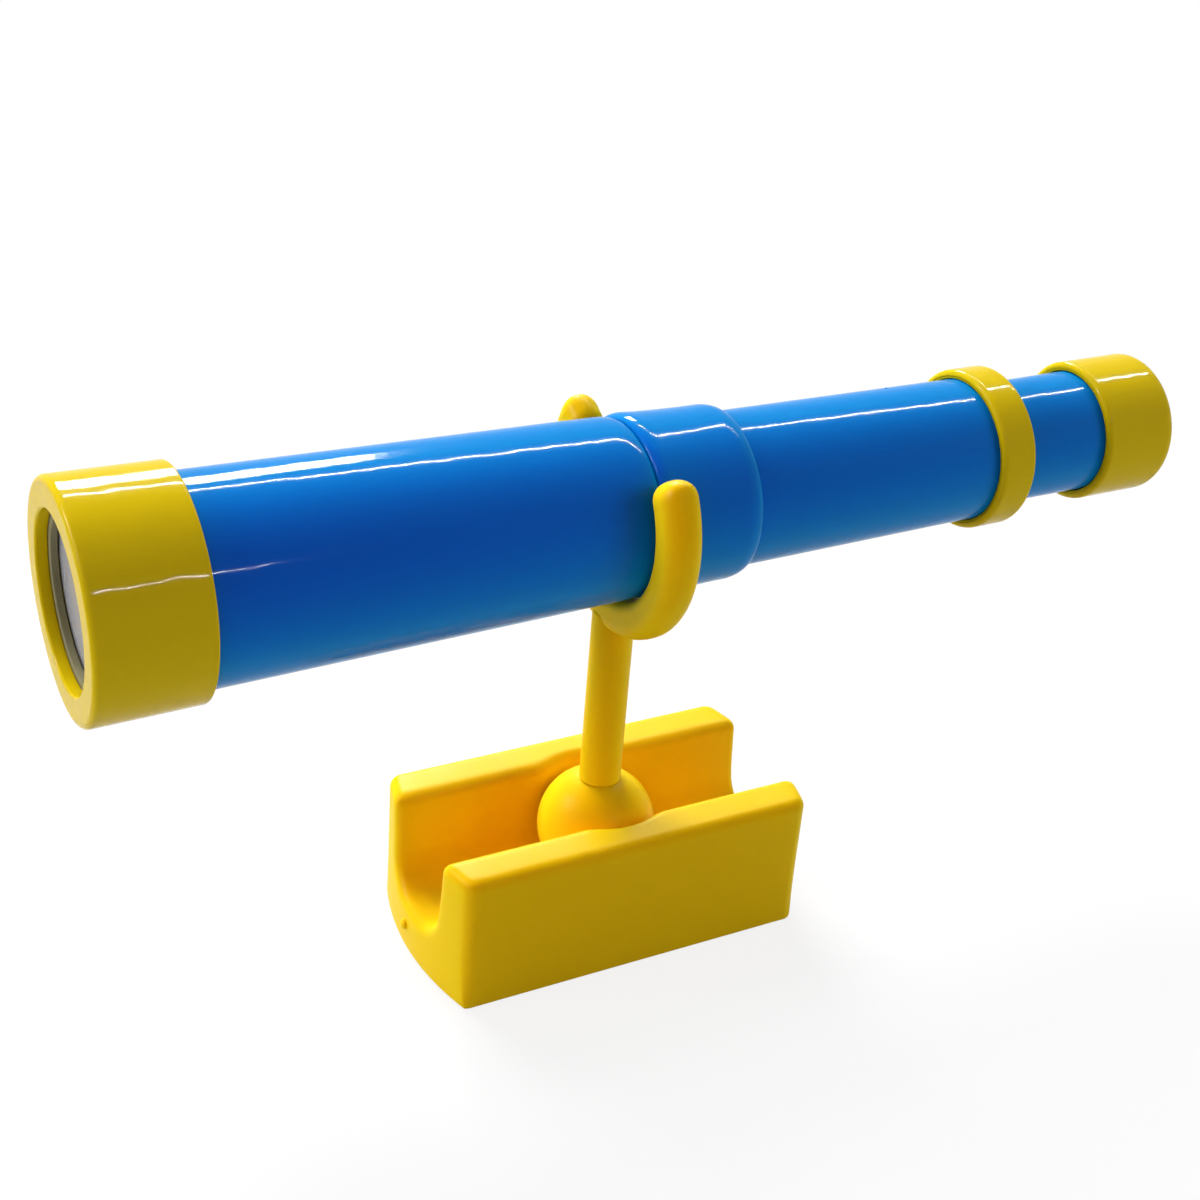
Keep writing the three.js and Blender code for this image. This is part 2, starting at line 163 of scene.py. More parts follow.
# %% [markdown]
# Three broad boxes light the object: a strong one behind it, another at its left, so tops and left
# ends are bright, and a weak one that keeps the near side from going dark. The boxes don't show in
# the gloss. Four other lamps show only there: a long strip for the line along the tubes, a panel
# for the broad band on the cap, a short strip for the faint line at the front, and one at the left
# for the glint on the lips. The world is plain white where it is seen, and gives only a little
# light.

# %% Lamps and world
TUBE_MIDDLE = Vector((0.0, 0.0, 0.14))
WORLD_LIGHT = 0.2


def area_lamp(name, start, end, width, watts):
    """Rectangular lamp between two points, turned to face the telescope."""
    start, end = Vector(start), Vector(end)
    middle = (start + end) / 2
    along = (end - start).normalized()
    back = middle - TUBE_MIDDLE
    back = (back - along * back.dot(along)).normalized()
    data = bpy.data.lights.new(name, "AREA")
    data.shape = "RECTANGLE"
    data.size = (end - start).length
    data.size_y = width
    data.energy = watts
    lamp = bpy.data.objects.new(name, data)
    scene.collection.objects.link(lamp)
    axes = Matrix((along, back.cross(along), back)).transposed().to_4x4()
    lamp.matrix_world = Matrix.Translation(middle) @ axes
    return lamp


def soft_box(name, place, size, watts):
    """Broad square lamp that lights the object but doesn't show in its gloss."""
    place = Vector(place)
    across = (place - TUBE_MIDDLE).cross(Vector((0.0, 0.0, 1.0))).normalized() * size / 2
    box = area_lamp(name, place - across, place + across, size, watts)
    box.visible_glossy = False


def glint(name, start, end, width, watts):
    """Lamp that shows in the gloss as a line or a band, but doesn't light the object."""
    strip = area_lamp(name, start, end, width, watts)
    strip.visible_diffuse = False


soft_box("back_box", (-0.25, 2.2, 2.35), size=2.0, watts=142.0)
soft_box("left_box", (-3.0, 0.3, 0.9), size=1.5, watts=50.0)
soft_box("right_box", (2.5, -2.0, 1.5), size=1.5, watts=32.0)
glint("tube_strip", (0.35, 1.95, 2.05), (2.63, 0.75, 2.75), width=0.055, watts=165.0)
glint("cap_panel", (0.25, 2.36, 1.45), (0.95, 2.36, 1.45), width=0.7, watts=125.0)
glint("front_strip", (0.235, -1.51, 1.13), (0.485, -1.51, 1.13), width=0.015, watts=4.0)
glint("lip_strip", (-1.51, 1.34, 1.40), (-1.97, -0.40, 1.40), width=0.08, watts=130.0)
print("lamps:", ", ".join(lamp.name for lamp in bpy.data.lights))


def light_world():
    world = bpy.data.worlds.new("studio")
    world.use_nodes = True
    scene.world = world
    nodes, links = world.node_tree.nodes, world.node_tree.links
    background = nodes["Background"]
    set_inputs(background, {"Color": (1.0, 1.0, 1.0, 1.0)})
    strength = nodes.new("ShaderNodeMapRange")
    set_inputs(strength, {"To Min": WORLD_LIGHT, "To Max": 1.0})
    links.new(background_rays(world.node_tree), strength.inputs["Value"])
    links.new(strength.outputs["Result"], background.inputs["Strength"])


light_world()
print("stage ready")

# %% [markdown]
# All the coloured plastics share one moulded skin, so it is a shader node group. It gives a slow
# drift of colour, as pigment in a moulding has, a gentle waviness, a fine grain and a little
# unevenness in the gloss. Each material places the group with its own values, and keeps its own
# Principled shader.

# %% Moulded skin, shared by the coloured plastics
DRIFT_SCALE = 14.0  # this and the scales below are in features per metre
WAVE_SCALE = 120.0
GRAIN_SCALE = 2600.0
SCUFF_SCALE = 90.0
MIX_FROM, MIX_TO, MIX_RESULT = 6, 7, 2  # colour sockets of a Mix node


def add_socket(tree, name, kind, way, value=None):
    socket = tree.interface.new_socket(name=name, in_out=way, socket_type=kind)
    if value is not None:
        socket.default_value = value
    return socket


def noise(tree, vector, scale, detail):
    node = tree.nodes.new("ShaderNodeTexNoise")
    set_inputs(node, {"Scale": scale, "Detail": detail})
    tree.links.new(vector, node.inputs["Vector"])
    return node.outputs["Fac"]


def spread(tree, value, low, high):
    """Carries a value from 0 to 1 over to a range; each bound is a number or a node's output."""
    node = tree.nodes.new("ShaderNodeMapRange")
    tree.links.new(value, node.inputs["Value"])
    for name, bound in (("To Min", low), ("To Max", high)):
        if isinstance(bound, float):
            node.inputs[name].default_value = bound
        else:
            tree.links.new(bound, node.inputs[name])
    return node.outputs["Result"]


def moulded_skin():
    tree = bpy.data.node_groups.new("moulded_skin", "ShaderNodeTree")
    for name, value in (("Deep", (0.5, 0.5, 0.5, 1)), ("Pale", (0.6, 0.6, 0.6, 1))):
        add_socket(tree, name, "NodeSocketColor", "INPUT", value)
    for name, value in (("Smoothest", 0.2), ("Roughest", 0.3), ("Wave", 0.5), ("Grain", 0.1)):
        add_socket(tree, name, "NodeSocketFloat", "INPUT", value)
    add_socket(tree, "Color", "NodeSocketColor", "OUTPUT")
    add_socket(tree, "Roughness", "NodeSocketFloat", "OUTPUT")
    add_socket(tree, "Height", "NodeSocketFloat", "OUTPUT")
    given = tree.nodes.new("NodeGroupInput")
    result = tree.nodes.new("NodeGroupOutput")
    place = tree.nodes.new("ShaderNodeTexCoord").outputs["Object"]
    mix = tree.nodes.new("ShaderNodeMix")
    mix.data_type = "RGBA"
    tree.links.new(noise(tree, place, DRIFT_SCALE, detail=2.0), mix.inputs["Factor"])
    tree.links.new(given.outputs["Deep"], mix.inputs[MIX_FROM])
    tree.links.new(given.outputs["Pale"], mix.inputs[MIX_TO])
    tree.links.new(mix.outputs[MIX_RESULT], result.inputs["Color"])
    uneven = noise(tree, place, SCUFF_SCALE, detail=6.0)
    gloss = spread(tree, uneven, given.outputs["Smoothest"], given.outputs["Roughest"])
    tree.links.new(gloss, result.inputs["Roughness"])
    slow = noise(tree, place, WAVE_SCALE, detail=1.0)
    fine = noise(tree, place, GRAIN_SCALE, detail=2.0)
    wave = arithmetic(tree, "MULTIPLY", slow, given.outputs["Wave"])
    grain = arithmetic(tree, "MULTIPLY", fine, given.outputs["Grain"])
    tree.links.new(arithmetic(tree, "ADD", wave, grain), result.inputs["Height"])
    return tree


MOULDED_SKIN = moulded_skin()

# %% [markdown]
# There are two yellows: the caps and the end ring are glossy and slightly lemon, and the stand is a
# warmer yellow with a satin skin. The blue tubes are as glossy as the caps. Each plastic has a
# lighter edge colour, which takes over as a surface turns away from the camera: this is painted
# sheen on the turned-away tops and painted shade on the faces turned to the camera. A thin clear
# coat gives the gloss plastics the crisp line of the lamp, and a little light scatters under the
# satin yellow.

# %% Plastics
BUMP_DEPTH = 0.0004
PAINTED_SHEEN_GAIN = 2.0  # how soon the edge colour, a painted sheen, takes over as a surface turns away


def srgb(red, green, blue):
    def linear(value):
        share = value / 255
        return share / 12.92 if share <= 0.04045 else ((share + 0.055) / 1.055) ** 2.4
    return (linear(red), linear(green), linear(blue), 1.0)


def plastic(name, deep, pale, edge, gloss, wave, grain, shine, coat, scatter):
    """Plastic whose colour drifts from deep to pale, with its smoothest and roughest gloss."""
    material, tree, shader = new_material(name)
    skin = tree.nodes.new("ShaderNodeGroup")
    skin.node_tree = MOULDED_SKIN
    smoothest, roughest = gloss
    set_inputs(skin, {
        "Deep": deep, "Pale": pale, "Wave": wave, "Grain": grain,
        "Smoothest": smoothest, "Roughest": roughest,
    })
    # Painted sheen and shade: towards the lighter edge colour as the surface turns away
    facing = tree.nodes.new("ShaderNodeLayerWeight").outputs["Facing"]
    painted_sheen_mix = tree.nodes.new("ShaderNodeMix")
    painted_sheen_mix.data_type = "RGBA"
    tree.links.new(arithmetic(tree, "MULTIPLY", facing, PAINTED_SHEEN_GAIN), painted_sheen_mix.inputs["Factor"])
    tree.links.new(skin.outputs["Color"], painted_sheen_mix.inputs[MIX_FROM])
    painted_sheen_mix.inputs[MIX_TO].default_value = edge
    tree.links.new(painted_sheen_mix.outputs[MIX_RESULT], shader.inputs["Base Color"])
    tree.links.new(skin.outputs["Roughness"], shader.inputs["Roughness"])
    bump = tree.nodes.new("ShaderNodeBump")
    set_inputs(bump, {"Distance": BUMP_DEPTH, "Strength": 1.0})
    tree.links.new(skin.outputs["Height"], bump.inputs["Height"])
    tree.links.new(bump.outputs["Normal"], shader.inputs["Normal"])
    tree.links.new(bump.outputs["Normal"], shader.inputs["Coat Normal"])
    set_inputs(shader, {
        "IOR": 1.5,
        "Specular IOR Level": shine,
        "Coat Weight": coat,
        "Coat Roughness": 0.03,
        "Subsurface Weight": scatter,
        "Subsurface Radius": (1.0, 0.6, 0.1),
        "Subsurface Scale": 0.002,
    })
    return material


# Each edge colour is a painted sheen, lighter than the plastic's own deep and pale colours.
GLOSS_YELLOW = plastic(
    "gloss_yellow", deep=srgb(207, 174, 2), pale=srgb(214, 181, 4), edge=srgb(219, 189, 6),
    gloss=(0.06, 0.13), wave=0.4, grain=0.0, shine=0.02, coat=0.06, scatter=0.0)
SATIN_YELLOW = plastic(
    "satin_yellow", deep=srgb(240, 176, 0), pale=srgb(244, 184, 2), edge=srgb(244, 205, 16),
    gloss=(0.30, 0.42), wave=0.5, grain=0.08, shine=0.03, coat=0.0, scatter=0.12)
GLOSS_BLUE = plastic(
    "gloss_blue", deep=srgb(0, 80, 198), pale=srgb(0, 86, 206), edge=srgb(0, 133, 210),
    gloss=(0.06, 0.12), wave=0.25, grain=0.0, shine=0.02, coat=0.06, scatter=0.0)
RING_GREY = plastic(
    "ring_grey", deep=srgb(112, 106, 78), pale=srgb(132, 126, 96), edge=srgb(140, 134, 104),
    gloss=(0.35, 0.5), wave=0.4, grain=0.1, shine=0.03, coat=0.0, scatter=0.0)

# %% [markdown]
# The lens is a clear moulded disc with a haze. About a third of the light goes through it into the
# dark tube, and the haze gives back the rest as the pale grey that the photograph shows.

# %% Lens plastic
LENS_HAZE = (0.03, 0.10)  # smoothest and roughest


def lens_plastic():
    material, tree, shader = new_material("lens_clear")
    place = tree.nodes.new("ShaderNodeTexCoord").outputs["Object"]
    haze = spread(tree, noise(tree, place, SCUFF_SCALE, detail=4.0), *LENS_HAZE)
    tree.links.new(haze, shader.inputs["Roughness"])
    set_inputs(shader, {
        "Base Color": srgb(226, 227, 238),
        "Transmission Weight": 0.35,
        "IOR": 1.49,
        "Coat Weight": 0.6,
        "Coat Roughness": 0.02,
    })
    return material


LENS_CLEAR = lens_plastic()
print("materials:", ", ".join(material.name for material in bpy.data.materials))

# %% [markdown]
# Most of the telescope is turned: a cap, a tube or a ring is one outline taken round the axis. That
# is a rule, so one Geometry Nodes tree makes them all. The outline is a chain of points, each with
# its place along the axis and its radius. The tree lays a grid with one row for each outline point,
# and sets every grid point to its outline point turned by its share of the circle.

# %% Geometry Nodes tree that turns an outline about the axis
ROUND_SEGMENTS = 160
SEAM_WELD = 1e-6  # metres; grid points closer than this become one


def turning_tree():
    tree = bpy.data.node_groups.new("turn_outline", "GeometryNodeTree")
    add_socket(tree, "Outline", "NodeSocketGeometry", "INPUT")
    add_socket(tree, "Segments", "NodeSocketInt", "INPUT", ROUND_SEGMENTS)
    add_socket(tree, "Axis Height", "NodeSocketFloat", "INPUT", 0.0)
    add_socket(tree, "Finish", "NodeSocketMaterial", "INPUT")
    add_socket(tree, "Turned", "NodeSocketGeometry", "OUTPUT")
    nodes, links = tree.nodes, tree.links
    given, result = nodes.new("NodeGroupInput"), nodes.new("NodeGroupOutput")
    count = nodes.new("GeometryNodeAttributeDomainSize")
    links.new(given.outputs["Outline"], count.inputs["Geometry"])
    columns = arithmetic(tree, "ADD", given.outputs["Segments"], 1)
    grid = nodes.new("GeometryNodeMeshGrid")
    links.new(count.outputs["Point Count"], grid.inputs["Vertices X"])
    links.new(columns, grid.inputs["Vertices Y"])
    index = nodes.new("GeometryNodeInputIndex").outputs["Index"]
    centred = arithmetic(tree, "ADD", index, 0.5)
    row = arithmetic(tree, "FLOOR", arithmetic(tree, "DIVIDE", centred, columns))
    column = arithmetic(tree, "SUBTRACT", index, arithmetic(tree, "MULTIPLY", row, columns))
    share = arithmetic(tree, "DIVIDE", column, given.outputs["Segments"])
    angle = arithmetic(tree, "MULTIPLY", share, 2 * math.pi)
    sample = nodes.new("GeometryNodeSampleIndex")
    sample.data_type = "FLOAT_VECTOR"
    links.new(given.outputs["Outline"], sample.inputs["Geometry"])
    links.new(nodes.new("GeometryNodeInputPosition").outputs["Position"], sample.inputs["Value"])
    links.new(row, sample.inputs["Index"])
    split = nodes.new("ShaderNodeSeparateXYZ")
    links.new(sample.outputs["Value"], split.inputs["Vector"])
    across = arithmetic(tree, "MULTIPLY", split.outputs["Z"], arithmetic(tree, "SINE", angle))
    up = arithmetic(tree, "MULTIPLY", split.outputs["Z"], arithmetic(tree, "COSINE", angle))
    place = nodes.new("ShaderNodeCombineXYZ")
    links.new(split.outputs["X"], place.inputs["X"])
    links.new(across, place.inputs["Y"])
    links.new(arithmetic(tree, "ADD", up, given.outputs["Axis Height"]), place.inputs["Z"])
    bend = nodes.new("GeometryNodeSetPosition")
    links.new(grid.outputs["Mesh"], bend.inputs["Geometry"])
    links.new(place.outputs["Vector"], bend.inputs["Position"])
    weld = nodes.new("GeometryNodeMergeByDistance")
    weld.inputs["Distance"].default_value = SEAM_WELD
    links.new(bend.outputs["Geometry"], weld.inputs["Geometry"])
    realize = nodes.new("GeometryNodeRealizeInstances")
    links.new(weld.outputs["Geometry"], realize.inputs["Geometry"])
    finish = nodes.new("GeometryNodeSetMaterial")
    links.new(realize.outputs["Geometry"], finish.inputs["Geometry"])
    links.new(given.outputs["Finish"], finish.inputs["Material"])
    links.new(finish.outputs["Geometry"], result.inputs["Turned"])
    return tree


TURNING_TREE = turning_tree()
SOCKET_NAMES = {
    item.name: item.identifier
    for item in TURNING_TREE.interface.items_tree
    if item.in_out == "INPUT"
}

# %% [markdown]
# Outlines are written as a few corners, each with its own rounding. Every rounded corner becomes an
# arc, and a point is added just beside each arc, so that the flat stretch keeps its even shading.

# %% Outlines with rounded corners
ARC_STEPS = 8
HOLD = 0.35  # millimetres from an arc's end to the point that holds the flat beside it
STRAIGHT = -0.99999  # below this cosine between its two sides, a corner is no corner
SMOOTH_DEGREES = 32  # a sharper bend than this shows as an edge
DOUBLES = 1e-7  # metres; mesh points closer than this become one


def rounded(corners, steps=ARC_STEPS, is_closed=True):
    """Points of an outline of (x, y, radius) corners; a radius of 0 leaves the corner sharp."""
    points = []
    for index, (x, y, radius) in enumerate(corners):
        corner = Vector((x, y))
        is_end = not is_closed and index in (0, len(corners) - 1)
        if is_end:
            points.append(corner)
            continue
        before = (Vector(corners[index - 1][:2]) - corner).normalized()
        after = (Vector(corners[(index + 1) % len(corners)][:2]) - corner).normalized()
        if radius == 0 or before.dot(after) < STRAIGHT:
            points.append(corner)
            continue
        half = before.angle(after) / 2
        run = radius / math.tan(half)
        centre = corner + (before + after).normalized() * (radius / math.sin(half))
        start, end = corner + before * run, corner + after * run
        turn = (start - centre).angle_signed(end - centre)
        points.append(start + before * HOLD)
        for step in range(steps + 1):
            spin = Matrix.Rotation(-turn * step / steps, 2)
            points.append(centre + spin @ (start - centre))
        points.append(end + after * HOLD)
    return points


def finish_mesh(made, sharp_degrees=SMOOTH_DEGREES):
    """Welds the mesh, points its faces outwards and shades it smooth up to the given angle."""
    work = bmesh.new()
    work.from_mesh(made.data)
    bmesh.ops.remove_doubles(work, verts=work.verts, dist=DOUBLES)
    bmesh.ops.recalc_face_normals(work, faces=work.faces)
    for face in work.faces:
        face.smooth = True
    work.to_mesh(made.data)
    work.free()
    made.data.set_sharp_from_angle(angle=math.radians(sharp_degrees))
    return made


def evaluated_mesh(made):
    """Replaces an object's mesh by what its modifiers make of it, and removes them."""
    graph = bpy.context.evaluated_depsgraph_get()
    mesh = bpy.data.meshes.new_from_object(made.evaluated_get(graph))
    made.modifiers.clear()
    made.data = mesh
    return made


def cut_out(made, tool):
    """Cuts a tool out of an object, and removes the tool."""
    modifier = made.modifiers.new("cut", "BOOLEAN")
    modifier.object = tool
    modifier.solver = "EXACT"
    evaluated_mesh(made)
    bpy.data.objects.remove(tool)
    return made


def turned(name, outline, finish, axis_height, segments=ROUND_SEGMENTS):
    """Turns an outline of (x, radius) points, in millimetres, about the X axis at a height."""
    chain = [(x * MM, 0.0, max(radius, 0.0) * MM) for x, radius in outline]
    links = [(index, index + 1) for index in range(len(chain) - 1)]
    made = mesh_object(name, chain, [], links)
    modifier = made.modifiers.new("turn", "NODES")
    modifier.node_group = TURNING_TREE
    values = {"Segments": segments, "Axis Height": axis_height * MM, "Finish": finish}
    for label, value in values.items():
        modifier[SOCKET_NAMES[label]] = value
    evaluated_mesh(made)
    return finish_mesh(made)


def ring_outline(corners):
    """Closed outline of (x, radius, rounding) corners."""
    points = rounded(corners)
    return points + points[:1]


def place_piece(made, body, *nodes, slot):
    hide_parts(*nodes)
    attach(made, body)
    print(made.name, len(made.data.polygons), "faces on", body)
    return made


def span(node):
    """First and last place of a turned node along X, and its radius, in millimetres."""
    low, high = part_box(node)
    return low.x / MM, high.x / MM, (high.y - low.y) / 2 / MM


cap_low, cap_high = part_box("objective_cap")
AXIS = (cap_low.z + cap_high.z) / 2 / MM
print("telescope axis at", round(AXIS, 2), "mm")

# %% [markdown]
# The objective cap is a thick glossy moulding. Its front edge is well rounded, its rear edge is
# only broken, and the opening in its face steps back to a grey ring with the lens behind it.

# %% Objective cap, ring and lens
FIT = 0.3  # millimetres between pieces that are pushed or glued together
RUN = 0.4  # millimetres between pieces that turn or slide on each other
WALL = 1.6
CAP_REAR_RADIUS = 30.9
CAP_FACE = 3.3
CAP_OPENING = 23.2
BARREL_AT_CAP = 27.83

cap_front, cap_rear, cap_radius = span("objective_cap")
ring_front, ring_rear, ring_radius = span("objective_lens_ring")
barrel_front, barrel_rear, barrel_front_radius = span("main_barrel")
cap_outline = ring_outline([
    (cap_front, CAP_OPENING, 0.7),
    (cap_front, cap_radius, 1.6),
    (cap_rear, CAP_REAR_RADIUS, 0.8),
    (cap_rear, BARREL_AT_CAP + FIT, 0.2),
    (barrel_front, ring_radius + FIT, 0.1),
    (cap_front + CAP_FACE, ring_radius + FIT, 0.2),
    (cap_front + CAP_FACE, CAP_OPENING, 0.2),
])
place_piece(
    turned("objective_cap_shell", cap_outline, GLOSS_YELLOW, AXIS),
    "barrel", "objective_cap", slot="cap_yellow")

RING_BORE = 21.4
RING_SNUG = 0.2  # the ring is pressed in, so its seams are tighter than the working gap
ring_shape = ring_outline([
    (ring_front - RING_SNUG, RING_BORE, 0.4),
    (ring_front - RING_SNUG, ring_radius, 0.2),
    (ring_rear + RING_SNUG, ring_radius, 0.2),
    (ring_rear + RING_SNUG, RING_BORE, 0.2),
])
place_piece(
    turned("objective_ring_shell", ring_shape, RING_GREY, AXIS),
    "barrel", "objective_lens_ring", slot="ring_grey")

LENS_STEPS = 16
LENS_BULGE = 1.4
LENS_FLATNESS = 6  # power of the face's curve, so that only its edge falls away


def lens_outline(node, bulge):
    """Half of a lens that bulges on both faces, from its front middle to its rear middle."""
    front, rear, radius = span(node)
    shares = [step / LENS_STEPS for step in range(LENS_STEPS + 1)]
    face = [(front + bulge * share ** LENS_FLATNESS, radius * share) for share in shares]
    return face + [(front + rear - x, reach) for x, reach in reversed(face)]


place_piece(
    turned("objective_lens_disc", lens_outline("objective_lens", LENS_BULGE), LENS_CLEAR, AXIS),
    "barrel", "objective_lens", slot="lens_clear")

# %% [markdown]
# The barrel narrows slightly towards the eye and rounds over into a groove. Behind the groove, the
# collar rises to a soft lip, dips to a waist and rounds off to the middle tube. The curved run into
# the groove bends the lamp's bright line, which is what makes the joint show.

# %% Barrel and collar
BARREL_AT_GROOVE = 25.4
GROOVE_FLOOR = 24.2
SHOULDER = 7.5
CURVE_STEPS = 14

collar_front, collar_rear, collar_radius = span("barrel_collar")


def barrel_radius(x):
    share = (x - cap_rear) / (barrel_rear - cap_rear)
    return BARREL_AT_CAP + (BARREL_AT_GROOVE - BARREL_AT_CAP) * share


def barrel_outline():
    outline = [(barrel_front, barrel_front_radius), (cap_rear, BARREL_AT_CAP)]
    for step in range(CURVE_STEPS + 1):
        share = step / CURVE_STEPS
        x = barrel_rear - SHOULDER * (1 - share)
        drop = (barrel_radius(x) - GROOVE_FLOOR) * (1 - math.sqrt(max(0.0, 1 - share ** 3)))
        outline.append((x, barrel_radius(x) - drop))
    outline += [(barrel_rear, BARREL_AT_GROOVE - WALL), (barrel_front, barrel_front_radius - WALL)]
    return outline + outline[:1]


place_piece(
    turned("barrel_shell", barrel_outline(), GLOSS_BLUE, AXIS),
    "barrel", "main_barrel", slot="tube_blue")

COLLAR_WAIST = 25.1
COLLAR_REAR = 24.85
COLLAR_LIP = 3.2
COLLAR_ROUND = 5.0
COLLAR_FOOT = 0.5  # height of the step that the rounded rear ends on
SEAM = 0.15  # millimetres at the groove, less than the solids leave, so that the seam stays fine
groove_x = barrel_rear + SEAM
collar_bore = span("middle_tube")[2] + RUN
spigot_radius = BARREL_AT_GROOVE - WALL - FIT


def collar_outline():
    outline = [(collar_front, collar_bore), (collar_front, spigot_radius)]
    outline += [(groove_x, spigot_radius), (groove_x, GROOVE_FLOOR)]
    for step in range(1, CURVE_STEPS + 1):
        share = step / CURVE_STEPS
        rise = math.sqrt(1 - (1 - share) ** 2)
        level = GROOVE_FLOOR + (collar_radius - GROOVE_FLOOR) * rise
        outline.append((groove_x + COLLAR_LIP * share, level))
    lip_x, tail_x = groove_x + COLLAR_LIP, collar_rear - COLLAR_ROUND
    for step in range(1, CURVE_STEPS + 1):
        share = step / CURVE_STEPS
        level = collar_radius + (COLLAR_REAR - collar_radius) * share
        straight = (collar_radius + COLLAR_REAR) / 2
        dip = 4 * (straight - COLLAR_WAIST) * share * (1 - share)
        outline.append((lip_x + (tail_x - lip_x) * share, level - dip))
    foot = collar_bore + COLLAR_FOOT
    for step in range(1, CURVE_STEPS + 1):
        bend = math.pi / 2 * step / CURVE_STEPS
        level = foot + (COLLAR_REAR - foot) * math.cos(bend)
        outline.append((tail_x + COLLAR_ROUND * math.sin(bend), level))
    outline.append((collar_rear, collar_bore))
    return outline + outline[:1]


place_piece(
    turned("collar_shell", collar_outline(), GLOSS_BLUE, AXIS),
    "barrel", "barrel_collar", slot="tube_blue")

# %% [markdown]
# The middle tube draws out of the barrel, and the eyepiece tube out of the middle tube. The yellow
# end ring guides the eyepiece tube and holds it in.

# %% Middle tube and end ring
MIDDLE_AT_RING = 21.06
END_RING_SEAT = 8.0

middle_front, middle_rear, middle_radius = span("middle_tube")
end_front, end_rear, end_radius = span("middle_tube_end_ring")
eye_front, eye_rear, eye_radius = span("eyepiece_tube")

middle_outline = ring_outline([
    (middle_front, middle_radius, 0.3),
    (collar_rear, middle_radius, 0.0),
    (middle_rear, MIDDLE_AT_RING, 0.2),
    (middle_rear, MIDDLE_AT_RING - WALL, 0.2),
    (collar_rear, middle_radius - WALL, 0.0),
    (middle_front, middle_radius - WALL, 0.3),
])
place_piece(
    turned("middle_tube_shell", middle_outline, GLOSS_BLUE, AXIS),
    "middle", "middle_tube", slot="tube_blue")

end_outline = ring_outline([
    (end_front, MIDDLE_AT_RING + FIT, 0.5),
    (end_front, end_radius, 1.6),
    (end_rear, end_radius, 1.6),
    (end_rear, eye_radius + RUN, 0.5),
    (end_front + END_RING_SEAT, eye_radius + RUN, 0.2),
    (end_front + END_RING_SEAT, MIDDLE_AT_RING + FIT, 0.2),
])
place_piece(
    turned("end_ring_shell", end_outline, GLOSS_YELLOW, AXIS),
    "middle", "middle_tube_end_ring", slot="cap_yellow")

# %% [markdown]
# The eyepiece cap closes the eye end with a rounded rim, and holds a small lens. The two hidden
# stop rings keep the CAD model's shape, and take the blue of the tubes that they sit on.

# %% Eyepiece and stop rings
EYE_WALL = 1.5
EYE_CAP_FACE = 3.0
EYE_OPENING = 12.0
EYE_LENS_BULGE = 1.2
EYE_RING_BORE = 13.5

eye_cap_front, eye_cap_rear, eye_cap_radius = span("eyepiece_cap")
eye_ring_front, eye_ring_rear, eye_ring_radius = span("eyepiece_lens_ring")

eye_outline = ring_outline([
    (eye_front, eye_radius, 0.3),
    (eye_rear, eye_radius, 0.3),
    (eye_rear, eye_radius - EYE_WALL, 0.3),
    (eye_front, eye_radius - EYE_WALL, 0.3),
])
place_piece(
    turned("eyepiece_tube_shell", eye_outline, GLOSS_BLUE, AXIS),
    "eyepiece", "eyepiece_tube", slot="tube_blue")

eye_cap_outline = ring_outline([
    (eye_cap_front, eye_radius + FIT, 0.5),
    (eye_cap_front, eye_cap_radius, 1.5),
    (eye_cap_rear, eye_cap_radius, 4.0),
    (eye_cap_rear, EYE_OPENING, 1.2),
    (eye_cap_rear - EYE_CAP_FACE, EYE_OPENING, 0.4),
    (eye_cap_rear - EYE_CAP_FACE, eye_radius + FIT, 0.2),
])
place_piece(
    turned("eyepiece_cap_shell", eye_cap_outline, GLOSS_YELLOW, AXIS),
    "eyepiece", "eyepiece_cap", slot="cap_yellow")

place_piece(
    turned("eyepiece_lens_disc", lens_outline("eyepiece_lens", EYE_LENS_BULGE), LENS_CLEAR, AXIS),
    "eyepiece", "eyepiece_lens", slot="lens_clear")

eye_ring_outline = ring_outline([
    (eye_ring_front, EYE_RING_BORE, 0.3),
    (eye_ring_front, eye_ring_radius, 0.3),
    (eye_ring_rear, eye_ring_radius, 0.3),
    (eye_ring_rear, EYE_RING_BORE, 0.3),
])
place_piece(
    turned("eyepiece_ring_shell", eye_ring_outline, RING_GREY, AXIS),
    "eyepiece", "eyepiece_lens_ring", slot="ring_grey")

for node in ("middle_tube_stop_ring", "eyepiece_tube_stop_ring"):
    stop_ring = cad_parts[node]
    stop_ring.data.materials.clear()
    stop_ring.data.materials.append(GLOSS_BLUE)

# %% [markdown]
# The ball and the stem are turned too, about an upright axis. They are made lying along X, as all
# the turned pieces are, and then stood up on the ball's centre.

# %% Ball and stem
ball_low, ball_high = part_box("swivel_ball")
BALL_CENTRE = (ball_low + ball_high) / 2
BALL_RADIUS = (ball_high.z - ball_low.z) / 2 / MM
BALL_STEPS = 64


def stand_up(made):
    upright = Matrix.Translation(BALL_CENTRE) @ Matrix.Rotation(-math.pi / 2, 4, "Y")
    made.data.transform(upright)
    return made


ball_outline = []
for step in range(BALL_STEPS + 1):
    bend = math.pi * step / BALL_STEPS
    ball_outline.append((-BALL_RADIUS * math.cos(bend), BALL_RADIUS * math.sin(bend)))
ball = stand_up(turned("ball_moulding", ball_outline, SATIN_YELLOW, 0.0))
place_piece(ball, "ball", "swivel_ball", slot="stand_yellow")

